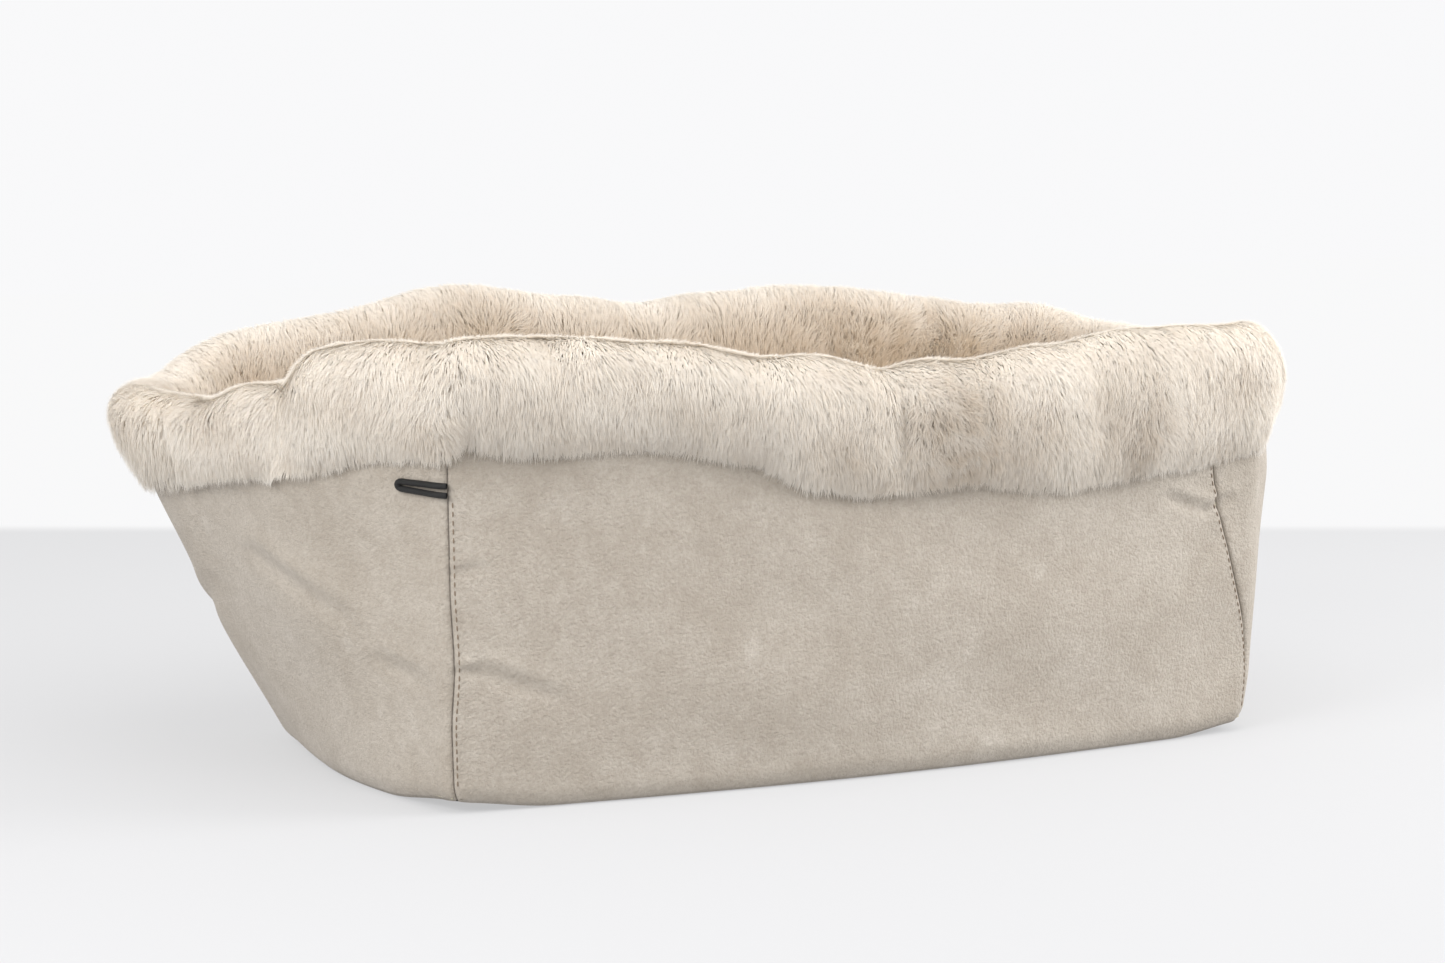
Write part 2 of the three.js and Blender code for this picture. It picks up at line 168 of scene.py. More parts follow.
def close_up(piece, fill_ends=False):
    """Merges edges that meet, fills open ends if asked, and turns the faces outwards."""
    bpy.context.view_layer.objects.active = piece
    bpy.ops.object.mode_set(mode="EDIT")
    bpy.ops.mesh.select_all(action="SELECT")
    bpy.ops.mesh.remove_doubles(threshold=0.00002)
    if fill_ends:
        bpy.ops.mesh.fill_holes(sides=0)
    bpy.ops.mesh.normals_make_consistent(inside=False)
    bpy.ops.object.mode_set(mode="OBJECT")


class Tone:
    """A shader socket that adds a Math node for each sum it is used in."""

    def __init__(self, finish, socket):
        self.finish = finish
        self.socket = socket

    def sum(self, operation, a, b):
        return self.finish.add("ShaderNodeMath", {"operation": operation}, {0: a, 1: b})

    def __add__(self, other):
        return self.sum("ADD", self, other)

    def __mul__(self, other):
        return self.sum("MULTIPLY", self, other)


class Finish:
    """A material made of nodes, with one Principled shader."""

    def __init__(self, name, **constants):
        self.material = bpy.data.materials.new(name)
        self.material.use_nodes = True
        self.nodes = self.material.node_tree.nodes
        self.links = self.material.node_tree.links
        self.shader = self.nodes["Principled BSDF"]
        for socket, value in constants.items():
            self.shader.inputs[socket.replace("_", " ")].default_value = value

    def add(self, kind, settings=None, inputs=None, output=0):
        node = self.nodes.new(kind)
        for name, value in (settings or {}).items():
            setattr(node, name, value)
        for socket, value in (inputs or {}).items():
            self.feed(node.inputs[socket], value)
        return Tone(self, node.outputs[output])

    def feed(self, socket, value):
        if isinstance(value, Tone):
            self.links.new(value.socket, socket)
        else:
            socket.default_value = value

    def noise(self, place, scale, detail=3.0, rough=0.5):
        sockets = {"Vector": place, "Scale": scale, "Detail": detail, "Roughness": rough}
        return self.add("ShaderNodeTexNoise", {}, sockets)

    def wave(self, place, scale, direction):
        sockets = {"Vector": place, "Scale": scale}
        return self.add("ShaderNodeTexWave", {"bands_direction": direction}, sockets)

    def stretch(self, value, low, high, to_low=0.0, to_high=1.0):
        sockets = {0: value, 1: low, 2: high, 3: to_low, 4: to_high}
        return self.add("ShaderNodeMapRange", {"interpolation_type": "SMOOTHSTEP"}, sockets)

    def mix(self, share, a, b):
        return self.add("ShaderNodeMix", {"data_type": "RGBA"}, {0: share, 6: a, 7: b}, 2)

    def object_place(self, *scale):
        place = self.add("ShaderNodeTexCoord", output=3)
        if scale:
            place = self.add("ShaderNodeMapping", {}, {"Vector": place, "Scale": scale})
        return place

    def woven_place(self, *scale):
        place = self.add("ShaderNodeUVMap")
        return self.add("ShaderNodeMapping", {}, {"Vector": place, "Scale": scale})

    def shade(self, **sockets):
        for name, value in sockets.items():
            self.feed(self.shader.inputs[name.replace("_", " ")], value)

    def blend_in(self, share, other):
        """Mixes another shader into the Principled one."""
        both = self.add("ShaderNodeMixShader", {}, {0: share, 2: other})
        self.links.new(self.shader.outputs[0], both.socket.node.inputs[1])
        self.links.new(both.socket, self.nodes["Material Output"].inputs[0])

    def raise_grain(self, height, depth, strength=1.0):
        bump = {"Height": height, "Distance": depth, "Strength": strength}
        self.shade(Normal=self.add("ShaderNodeBump", {}, bump))

    def put_on(self, piece):
        piece.data.materials.clear()
        piece.data.materials.append(self.material)


def dyed(red, green, blue):
    """A colour from 0 to 255 a channel, as the shader wants it."""
    return tuple((c / 255) ** 2.2 for c in (red, green, blue)) + (1.0,)


braid = Finish("black_braided_elastic", Roughness=0.62)
strand = braid.woven_place(8, 90, 1)
weave = braid.wave(strand, 1.6, "DIAGONAL")
ribs = braid.stretch(weave, 0.1, 0.9)
braid.shade(Base_Color=braid.mix(ribs, dyed(18, 18, 18), dyed(52, 51, 50)))
braid.raise_grain(ribs, 0.0003)


def hairpin(side):
    """The loop's line: out along the panel, round the end, and back."""
    half = (LOOP_W - ELASTIC_D) / 2
    stations = side * np.linspace(SEAM, STRETCH_ENDS[2], 2001)

    def on_panel(reach, dz):
        # The loop narrows and rises a little towards its end.
        dz = dz * (1.12 - 0.3 * reach / LOOP_REACH) + 0.0022 * reach / LOOP_REACH
        spots = outline(stations, LOOP_Z + dz, -0.0003 - ELASTIC_D / 2)
        root = outline(side * SEAM, LOOP_Z)
        off = np.hypot(spots[:, 0] - root[0], spots[:, 1] - root[1])
        return spots[np.argmax(off >= reach)]

    straight = LOOP_REACH - LOOP_W / 2
    outs = np.linspace(0.0016, straight, 9)
    bends = [math.radians(a) for a in (60, 30, 0, -30, -60)]
    nose = [on_panel(straight + half * math.cos(a), half * math.sin(a)) for a in bends]
    runs = [on_panel(reach, half) for reach in outs]
    return np.array(runs + nose + [on_panel(reach, -half) for reach in outs[::-1]])


for side, word in ((-1, "left"), (1, "right")):
    line = hairpin(side)
    lengths = np.r_[0, np.cumsum(np.linalg.norm(np.diff(line, axis=0), axis=1))]
    dense = np.linspace(0, lengths[-1], 121)
    route = np.stack([np.interp(dense, lengths, line[:, k]) for k in range(3)], 1)
    for step in range(3):
        route[1:-1] = (route[:-2] + 2 * route[1:-1] + route[2:]) / 4
    ahead = np.gradient(route, axis=0)
    ahead /= np.linalg.norm(ahead, axis=1)[:, None]
    face = outward(side * (SEAM + 1.5), LOOP_Z)
    across = np.cross(ahead, face)
    across /= np.linalg.norm(across, axis=1)[:, None]
    lift = np.cross(across, ahead)

    def round_cord(turn, along):
        k = np.clip(np.rint(along * 120).astype(int), 0, 120)
        angle = (turn * 2 * np.pi)[:, None]
        ring = np.cos(angle) * across[k] + np.sin(angle) * lift[k]
        return route[k] + ring * ELASTIC_D / 2

    loop = woven_grid("elastic_hairpin_" + word, round_cord, 16, 120)
    close_up(loop)
    braid.put_on(loop)
    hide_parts("elastic_loop_" + word)
    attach(loop, "loop_" + word)
    float(np.linalg.norm(np.diff(route, axis=0), axis=1).sum())


# Floor and light: a pale table with a soft far edge, white light all round, and three large
# soft lamps, on the right, on the left and overhead.
bpy.context.scene.view_settings.view_transform = "Standard"
world = bpy.data.worlds.new("white_room")
world.use_nodes = True
room = world.node_tree.nodes["Background"]
room.inputs[0].default_value = (1, 1, 1.01, 1)
seen = world.node_tree.nodes.new("ShaderNodeLightPath")
ROOM_LIGHT, ROOM_SEEN = 0.88, 0.945
brightness = world.node_tree.nodes.new("ShaderNodeMapRange")
brightness.inputs[3].default_value = ROOM_LIGHT
brightness.inputs[4].default_value = ROOM_SEEN
world.node_tree.links.new(seen.outputs["Is Camera Ray"], brightness.inputs[0])
world.node_tree.links.new(brightness.outputs[0], room.inputs[1])
bpy.context.scene.world = world
bpy.ops.mesh.primitive_plane_add(size=8, location=(0, 0, -0.0006))
table = bpy.context.object
table.name = "table_top"
TABLE_EDGE = 0.838
EDGE_BLUR = 0.03
table_top = Finish("pale_lit_table", Roughness=0.9)
away = table_top.add("ShaderNodeVectorMath", {"operation": "DOT_PRODUCT"},
                     {0: table_top.object_place(), 1: (0.4695, 0.8829, 0)}, 1)
beyond = table_top.stretch(away, TABLE_EDGE - EDGE_BLUR, TABLE_EDGE + EDGE_BLUR)
table_top.shade(Base_Color=(0.56, 0.56, 0.57, 1))
glow = table_top.mix(beyond, (0.80, 0.80, 0.805, 1), (0.945, 0.945, 0.95, 1))
glow = table_top.add("ShaderNodeEmission", {}, {0: glow, 1: 1.0})
share = table_top.stretch(away, TABLE_EDGE - EDGE_BLUR, TABLE_EDGE + EDGE_BLUR, 0.62, 1.0)
table_top.blend_in(share, glow)
table_top.put_on(table)

for place, size, power in (
    ((1.30, -0.70, 0.75), 0.9, 23),
    ((-1.5, -0.6, 0.9), 0.9, 20),
    ((-0.1, -0.6, 1.8), 1.4, 12),
):
    bpy.ops.object.light_add(type="AREA", location=place)
    lamp = bpy.context.object
    lamp.data.size = size
    lamp.data.energy = power
    way = np.array([0, 0, 0.1]) - np.array(place)
    lamp.rotation_euler = (
        math.atan2(math.hypot(way[0], way[1]), -way[2]),
        0,
        math.atan2(way[1], way[0]) - math.pi / 2,
    )


# Shell: a front panel and two panels that wrap round from the front corner seams to a seam
# at the back's middle. Stone-coloured faux nubuck, 2 mm with its backing, drawn in along the
# seams and softly creased beside them.
SHELL_T = 0.002
CORNER_LIFT = 0.005
LIFT_REACH = 0.055
RIM_Z = 0.15  # height at which distances along the panels' top edge are measured
LEVELS = np.linspace(-0.02, 0.26, 29)
ROUND = np.linspace(0, HALF, 1281)
LENGTHS = []
for level in LEVELS:
    steps = np.linalg.norm(np.diff(outline(ROUND, level), axis=0), axis=1)
    # The last step is carried on past the back's middle, so that blending two levels is exact.
    LENGTHS.append(np.cumsum(np.r_[0, steps, steps[-1] * 80]))
ROUND = np.r_[ROUND, HALF + 2]


def between_levels(z, at_level):
    """at_level(level, picked) at the two levels round each height, blended."""
    z = np.clip(z, LEVELS[0], LEVELS[-1] - 1e-6)
    place = (z - LEVELS[0]) / (LEVELS[1] - LEVELS[0])
    low = place.astype(int)
    found = np.zeros_like(z)
    for level in np.unique(low):
        picked = low == level
        below = at_level(level, picked)
        found[picked] = below + (at_level(level + 1, picked) - below) * (place - low)[picked]
    return found


def station_at(run, z):
    """The station at a distance round the shell from the front's middle."""
    run, z = np.broadcast_arrays(np.asarray(run, float), np.asarray(z, float))
    found = between_levels(z, lambda k, on: np.interp(np.abs(run[on]), LENGTHS[k], ROUND))
    return found * np.where(run < 0, -1, 1)


def run_at(station, z):
    station, z = np.broadcast_arrays(np.asarray(station, float), np.asarray(z, float))
    found = between_levels(z, lambda k, on: np.interp(np.abs(station[on]), ROUND, LENGTHS[k]))
    return found * np.where(station < 0, -1, 1)


def eased(places, at):
    """A value that goes smoothly from one (place, value) pair to the next."""
    x, y = np.array(places).T
    k = np.clip(np.searchsorted(x, at) - 1, 0, len(x) - 2)
    share = np.clip((at - x[k]) / (x[k + 1] - x[k]), 0, 1)
    return y[k] + (y[k + 1] - y[k]) * share * share * (3 - 2 * share)


# How far each front corner seam runs in from the corner, by height.
SEAM_DRIFT = {
    -1: [(0.0, 0.0), (0.035, 0.0), (0.068, 0.002), (0.11, 0.0005), (0.16, 0.0), (0.21, 0.002)],
    1: [(0.02, 0.0), (0.16, 0.031)],
}
# Top edge of the panels, hidden in the cuff, at distances round from the front's middle.
RIM = [(-0.86, 0.1985), (-0.72, 0.2105), (-0.62, 0.194), (-0.53, 0.172), (-0.39, 0.170),
       (-0.34, 0.180), (-0.30, 0.198), (-0.25, 0.203), (-0.174, 0.205), (-0.114, 0.199),
       (-0.046, 0.191), (0.0, 0.186), (0.044, 0.186), (0.095, 0.191), (0.16, 0.198),
       (0.2305, 0.198), (0.33, 0.176), (0.44, 0.175), (0.56, 0.190), (0.70, 0.206),
       (0.86, 0.200)]


def crease(run, z, a, b, width, depth):
    """A fold pressed in along the line from a to b, fading out at both ends."""
    a, b = np.array(a), np.array(b)
    way = b - a
    share = ((run - a[0]) * way[0] + (z - a[1]) * way[1]) / (way @ way)
    off_x = run - a[0] - np.clip(share, 0, 1) * way[0]
    off_z = z - a[1] - np.clip(share, 0, 1) * way[1]
    side = np.sign(way[0] * off_z - way[1] * off_x)
    off = np.hypot(off_x, off_z) / width
    fade = np.clip(1 - np.abs(share - 0.4) / 0.9, 0, 1) ** 0.7
    return -depth * fade * (np.exp(-off * off) - 0.7 * np.exp(-((off - side * 1.4) ** 2)))


def soft_waves(run, z, seed, pitch):
    """Gentle random undulation, about -1 to 1."""
    picks = np.random.default_rng(seed)
    total = 0 * run
    for k in range(7):
        angle = picks.uniform(0, np.pi)
        turns = 2 * np.pi / pitch * picks.uniform(0.6, 1.6)
        phase = turns * (run * np.cos(angle) + z * np.sin(angle)) + picks.uniform(0, 6.3)
        total = total + np.sin(phase)
    return total / 3.5


def shell_relief(run, z):
    """How far the shell stands out from its plain form."""
    belly = 0.0035 * np.exp(-(((z - 0.07) / 0.05) ** 2)) * np.exp(-((run / 0.19) ** 4))
    bulge = 0.009 * np.exp(-(((run - 0.265) / 0.026) ** 2)) * eased(
        [(0, 0), (0.03, 1), (0.13, 1), (0.19, 0)], z)
    relief = belly + bulge + 0.0011 * soft_waves(run, z, 4, 0.11)
    folds = (
        ((-0.2285, 0.1145), (-0.213, 0.1165), 0.0022, 0.0016),
        ((-0.227, 0.067), (-0.2165, 0.067), 0.0022, 0.0018),
        ((-0.2165, 0.067), (-0.176, 0.052), 0.0045, 0.0016),
        ((0.170, 0.128), (0.196, 0.1195), 0.0035, 0.0022),
        ((0.196, 0.1195), (0.214, 0.125), 0.0035, 0.0022),
        ((0.198, 0.106), (0.182, 0.080), 0.0080, 0.0016),
        ((-0.36, 0.112), (-0.295, 0.088), 0.0060, 0.0026),
        ((-0.275, 0.068), (-0.245, 0.060), 0.0050, 0.0018),
        ((0.30, 0.055), (0.40, 0.095), 0.0070, 0.0024),
        ((0.36, 0.03), (0.43, 0.05), 0.0060, 0.0018),
        ((-0.50, 0.05), (-0.42, 0.09), 0.0070, 0.0022),
        ((0.56, 0.06), (0.62, 0.10), 0.0070, 0.0022),
        ((-0.64, 0.09), (-0.58, 0.06), 0.0070, 0.0020),
        ((0.72, 0.05), (0.80, 0.08), 0.0070, 0.0020),
        ((-0.80, 0.09), (-0.72, 0.07), 0.0070, 0.0018),
    )
    for a, b, width, depth in folds:
        relief = relief + crease(run, z, a, b, width, depth)
    return relief


def corner_lift(run, z):
    """The soft bottom edge clears the table a little at the front corners."""
    near = np.minimum(np.abs(np.abs(run) - 0.232) / LIFT_REACH, 1)
    return CORNER_LIFT * (1 - near * near * (3 - 2 * near)) * np.clip(1 - z / 0.08, 0, 1)


def panel_point(run, z, from_edge):
    """A point on the shell's outer face. from_edge is the distance to the nearest seam."""
    groove = 0.0017 * np.exp(-np.maximum(from_edge, 0) / 0.0011)
    tuck = 0.004 * np.clip(1 - z / 0.009, 0, 1) ** 2
    inset = groove + tuck - shell_relief(run, z) * np.clip(z / 0.01, 0, 1)
    spot = outline(station_at(run, z), z, 0)
    spot -= outward(station_at(run, z), z) * inset[:, None]
    spot[:, 2] += corner_lift(run, z)
    return spot


def thicken(piece, thickness, offset=1):
    skin = piece.modifiers.new("thickness", "SOLIDIFY")
    skin.thickness = thickness
    skin.offset = offset
    bpy.context.view_layer.objects.active = piece
    bpy.ops.object.modifier_apply(modifier="thickness")


def shell_panel(name, cad_node, low_edge, high_edge, columns):
    """A panel between two edges, each a distance round by height."""

    def place(across, up):
        start = low_edge(RIM_Z)
        top = eased(RIM, start + (high_edge(RIM_Z) - start) * across)
        z = up * top
        low, high = low_edge(z), high_edge(z)
        # Columns close up towards the edges, where the seam's groove is.
        across = across - np.sin(across * 2 * np.pi) * 0.12
        run = low + (high - low) * across
        return panel_point(run, z, np.minimum(run - low, high - run))

    panel = woven_grid(name, place, columns, 84)
    thicken(panel, SHELL_T, -1)
    nubuck.put_on(panel)
    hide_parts(cad_node)
    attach(panel, "bed")
    return panel


nubuck = Finish("stone_faux_nubuck", Roughness=0.8, Sheen_Weight=0.12, Sheen_Roughness=0.6)
hide = nubuck.object_place()
cloud = nubuck.noise(hide, 20, 5, 0.6)
patch = nubuck.noise(hide, 75, 6, 0.7)
fleck = nubuck.noise(hide, 430, 5, 0.75)
worn = nubuck.noise(hide, 38, 7, 0.72)
ground = nubuck.mix(nubuck.stretch(cloud * 0.5 + patch * 0.5, 0.36, 0.64),
                    dyed(163, 153, 140), dyed(177, 168, 156))
bloom = nubuck.stretch(worn, 0.56, 0.74, 0, 0.34)
ground = nubuck.mix(bloom, ground, dyed(203, 196, 186))
nubuck.shade(Base_Color=nubuck.mix(nubuck.stretch(fleck, 0.38, 0.66, 0, 0.42), ground,
                                   dyed(142, 132, 119)))
pebble = nubuck.noise(hide, 640, 3, 0.6)
nubuck.raise_grain(pebble * 0.8 + fleck * 0.6, 0.0016, 0.9)


def left_seam(z):
    z = np.asarray(z, float)
    return run_at(-SEAM, z) + eased(SEAM_DRIFT[-1], z)


def right_seam(z):
    z = np.asarray(z, float)
    return run_at(SEAM, z) - eased(SEAM_DRIFT[1], z)


def left_back(z):
    return run_at(-HALF, np.asarray(z, float)) + 0.0001


def right_back(z):
    return run_at(HALF, np.asarray(z, float)) - 0.0001


front_panel = shell_panel("front_panel", "shell_front_panel", left_seam, right_seam, 170)
left_wrap = shell_panel("left_wrap_panel", "shell_left_wrap_panel", left_back, left_seam, 210)
right_wrap = shell_panel(
    "right_wrap_panel", "shell_right_wrap_panel", right_seam, right_back, 210)


# Topstitching: one row of tan thread down the front panel beside each corner seam, 4.1 mm from
# stitch to stitch, ending just under the loop. Each stitch dips into the hide at both ends. The
# thread's brown is partly its own tan and partly painted shade of the stitches sunk in the hide.
STITCH_PITCH = 0.0041
STITCH_L = 0.0027
STITCH_R = 0.00042
STITCH_ROW = 0.0023  # from the seam
STITCH_LOW, STITCH_HIGH = 0.010, 0.1462
thread = Finish("tan_topstitch_thread_and_painted_shade", Roughness=0.7)
twist = thread.noise(thread.object_place(), 2200, 2)
# Brown thread colour: partly the thread's own, partly painted shade of the sunken stitch line.
thread.shade(Base_Color=thread.mix(twist, dyed(96, 82, 68), dyed(138, 122, 104)))


def joined(name, parts):
    """One piece made of several."""
    bpy.ops.object.select_all(action="DESELECT")
    for part in parts:
        part.select_set(True)
    bpy.context.view_layer.objects.active = parts[0]
    bpy.ops.object.join()
    piece = bpy.context.object
    piece.name = name
    bpy.ops.object.shade_smooth()
    bpy.ops.object.select_all(action="DESELECT")
    return piece


for side, word in ((-1, "left"), (1, "right")):
    seam = left_seam if side < 0 else right_seam
    stitches = []
    for z in np.arange(STITCH_LOW, STITCH_HIGH, STITCH_PITCH):
        ends = np.array([z - STITCH_L / 2, z + STITCH_L / 2])
        run = seam(ends) - side * STITCH_ROW
        foot, head = panel_point(run, ends, np.full(2, STITCH_ROW))
        out = outward(station_at(run[:1], ends[:1]), ends[:1])[0]
        way = unit(head - foot)
        across = np.cross(way, out)
        bpy.ops.mesh.primitive_uv_sphere_add(segments=6, ring_count=5, radius=1)
        stitch = bpy.context.object
        size = np.stack([across * STITCH_R, out * STITCH_R, way * STITCH_L / 2], 1)
        middle = (foot + head) / 2 + out * STITCH_R * 0.25
        for corner in stitch.data.vertices:
            corner.co = middle + size @ np.array(corner.co)
        stitches.append(stitch)
    row = joined("topstitching_" + word, stitches)
    thread.put_on(row)
    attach(row, "bed")


# Base: a dark non-slip cloth sewn inside the bottom edge of the panels, a stiff board on it,
# and a plain cloth floor to the lining over the board. The cloth's darkness is partly its own colour
# and
# partly painted shadow: its thin edge under the front of the shell stands in for the contact shadow
# line there.
BASE_IN = 0.0045
BASE_T = 0.0012


def filled_plan(name, z, inset, back_inset, least, cells, lift):
    """A sheet that fills the plan at one height. lift(share, spots) raises it, where share is
    0 in the middle and 1 at the edge."""
    edge = outline(np.linspace(-HALF, HALF, 1025)[:-1], z, inset, back_inset, least)
    middle = (edge.max(0) + edge.min(0)) / 2
    reach = (edge.max(0) - edge.min(0)) / 2
    bearing = np.arctan2((edge[:, 1] - middle[1]) / reach[1], (edge[:, 0] - middle[0]) / reach[0])
    order = np.argsort(bearing)
    bearing, edge = bearing[order], edge[order]

    def place(across, up):
        u, v = across * 2 - 1, up * 2 - 1
        share = np.maximum(np.abs(u), np.abs(v))
        angle = np.arctan2(v, u)
        rim = np.stack([np.interp(angle, bearing, edge[:, k], period=2 * np.pi) for k in (0, 1)], 1)
        flat = middle[:2] + (rim - middle[:2]) * share[:, None]
        spots = np.column_stack([flat, np.full(len(flat), z)])
        spots[:, 2] += lift(share, spots)
        return spots

    return woven_grid(name, place, cells[0], cells[1])


def base_lift(share, spots):
    near = np.hypot(np.abs(spots[:, 0]) - 0.225, spots[:, 1] + 0.118) / LIFT_REACH
    return CORNER_LIFT * np.clip(1 - near, 0, 1) ** 2 * (3 - 2 * np.clip(1 - near, 0, 1))


# Dark charcoal: partly the cloth's own colour, partly painted shadow along the shell's bottom front
# edge.
base_cloth_painted_shadow = Finish("non_slip_base_cloth_painted_shadow", Roughness=0.85)
threads = base_cloth_painted_shadow.add("ShaderNodeTexChecker", {}, {0: base_cloth_painted_shadow.object_place(), 3: 900})
base_cloth_painted_shadow.shade(Base_Color=base_cloth_painted_shadow.mix(Tone(base_cloth_painted_shadow, threads.socket.node.outputs[1]),
                                         dyed(46, 44, 42), dyed(66, 63, 60)))
base_cloth_painted_shadow.raise_grain(Tone(base_cloth_painted_shadow, threads.socket.node.outputs[1]), 0.0002)
base = filled_plan("base_panel", 0.0, BASE_IN, BASE_IN, 0.006, (120, 70), base_lift)
thicken(base, BASE_T)
base_cloth_painted_shadow.put_on(base)
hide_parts("shell_base_panel")
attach(base, "bed")

fibre = Finish("brown_fibreboard", Roughness=0.75)
grain = fibre.noise(fibre.object_place(1, 1, 3), 240, 5, 0.7)
fibre.shade(Base_Color=fibre.mix(grain, dyed(96, 80, 62), dyed(132, 112, 88)))
fibre.raise_grain(grain, 0.0003)
fibre.put_on(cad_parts["base_board"])

lining = Finish("taupe_lining_cloth", Roughness=0.88, Sheen_Weight=0.2)
cloth = lining.object_place()
warp = lining.wave(cloth, 320, "X")
weft = lining.wave(cloth, 320, "Y")
rise = lining.wave(cloth, 320, "Z")
mottle = lining.noise(cloth, 60, 4)
lining.shade(Base_Color=lining.mix(mottle * 0.5 + warp * 0.2 + weft * 0.2 + rise * 0.1,
                                   dyed(158, 147, 132), dyed(196, 186, 171)))
lining.raise_grain(warp + weft + rise, 0.0002)


def floor_rumple(share, spots):
    return 0.0004 * soft_waves(spots[:, 0], spots[:, 1], 77, 0.07)


floor_cloth = filled_plan("lining_floor_cloth", 0.0060, 0.0185, 0.0185, 0.006, (110, 60),
                          floor_rumple)
thicken(floor_cloth, 0.0012)
lining.put_on(floor_cloth)
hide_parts("lining_floor")
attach(floor_cloth, "bed")


# Wall padding: a slab of foam behind each shell panel, its top edge rounded under the roll of
# the lining.
FOAM_OUT_IN = 0.0026
FOAM_T = 0.0146
FOAM_LOW = 0.0062
FOAM_Z = 0.1  # height at which distances along the foam are measured
foam = Finish("cream_wall_foam", Roughness=0.95)
bubbles = foam.add("ShaderNodeTexVoronoi", {}, {0: foam.object_place(), 2: 900})
foam.shade(Base_Color=foam.mix(bubbles, dyed(196, 188, 160), dyed(240, 234, 212)))
foam.raise_grain(bubbles, 0.0004)

for word, low, high in (
    ("front", left_seam, right_seam),
    ("left", left_back, left_seam),
    ("right", right_seam, right_back),
):

    def slab(across, up):
        """up goes once round the section: outer face, rounded top, inner face."""
        run_low = low(np.full(1, FOAM_Z))[0] + 0.002
        run_high = high(np.full(1, FOAM_Z))[0] - 0.002
        run = run_low + (run_high - run_low) * across
        top = eased(RIM, run) - 0.002
        turn = np.clip((up - 0.4) / 0.2, 0, 1) * np.pi
        climb = np.where(up < 0.4, up / 0.4, np.where(up > 0.6, (1 - up) / 0.4, 1))
        z = FOAM_LOW + (top - FOAM_LOW) * climb + np.sin(turn) * FOAM_T / 2
        inset = FOAM_OUT_IN + FOAM_T / 2 - np.cos(turn) * FOAM_T / 2
        station = station_at(run, FOAM_Z)
        return outline(station, z) - outward(station, z) * inset[:, None]

    pad = woven_grid("wall_foam_pad_" + word, slab, 60, 40)
    close_up(pad, fill_ends=True)
    foam.put_on(pad)
    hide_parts("wall_foam_" + word)
    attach(pad, "bed")


# Fur lining: a left and a right half of faux-fur fabric, joined at the front's and the back's
# middle. Each runs up the inside of the wall, over the rim, and down the outside as a cuff
# with a free hem. The hairs are about 11 mm long and lie over towards the hem.
ROLL_R = 0.0120
ROLL_CENTRE_IN = 0.00835
FLOOR_Z = 0.0079
PELT_Z = 0.19  # height at which distances round the rim are measured
PELT_HALF = float(run_at(HALF, PELT_Z))
HEM = [(-0.86, 0.150), (-0.70, 0.153), (-0.55, 0.146), (-0.46, 0.1305), (-0.33, 0.1465),
       (-0.26, 0.160), (-0.232, 0.160), (-0.2235, 0.169), (-0.214, 0.164), (-0.195, 0.1615),
       (-0.13, 0.1625), (-0.08, 0.154), (-0.04, 0.1375), (-0.01, 0.134), (0.04, 0.1365),
       (0.105, 0.130), (0.13, 0.1325), (0.17, 0.1355), (0.231, 0.142), (0.33, 0.146),
       (0.5, 0.152), (0.7, 0.152), (0.86, 0.150)]
CUFF_OUT = 0.0080  # widest place of the cuff's fabric beyond the shell
HEM_TURN = 0.95  # how far round the fabric tucks in at the hem, in radians
HEM_RISE = 0.0135  # from the line in HEM up to the fabric's edge
# Outside, the fabric swells to its widest place and then tucks in to the hem.
SWELL_ROWS, TUCK_ROWS = 0.42, 0.58
SWELL_DROP, TUCK_DROP = 0.38, 0.62
PILE_L = 0.0112
# How much darker the strands are coloured: down the inside of the wall, as painted shade, and in the
# ruffled patches.
INNER_PAINTED_SHADE, RUFFLED_DARKER = 0.62, 0.58
HAIR_HALF_WIDTH = 0.00025
HAIR_LEANS = (0.62, 1.18)  # of the lower and the upper half, in radians from upright
TUFT, FINE_TUFT = 0.0050, 0.0021
ROW_PITCH = 0.0026
ROWS_IN, ROWS_OVER, ROWS_OUT = 54, 9, 29
PELT_ROWS = ROWS_IN + ROWS_OVER + ROWS_OUT
PELT_COLUMNS = 360
PILE_FRONT = 0.40  # the denser pile, round from the front's middle


def flip_faces(piece):
    bpy.context.view_layer.objects.active = piece
    bpy.ops.object.mode_set(mode="EDIT")
    bpy.ops.mesh.select_all(action="SELECT")
    bpy.ops.mesh.flip_normals()
    bpy.ops.object.mode_set(mode="OBJECT")


def valley(run, middle, width):
    return np.exp(-(((run - middle) / width) ** 2))


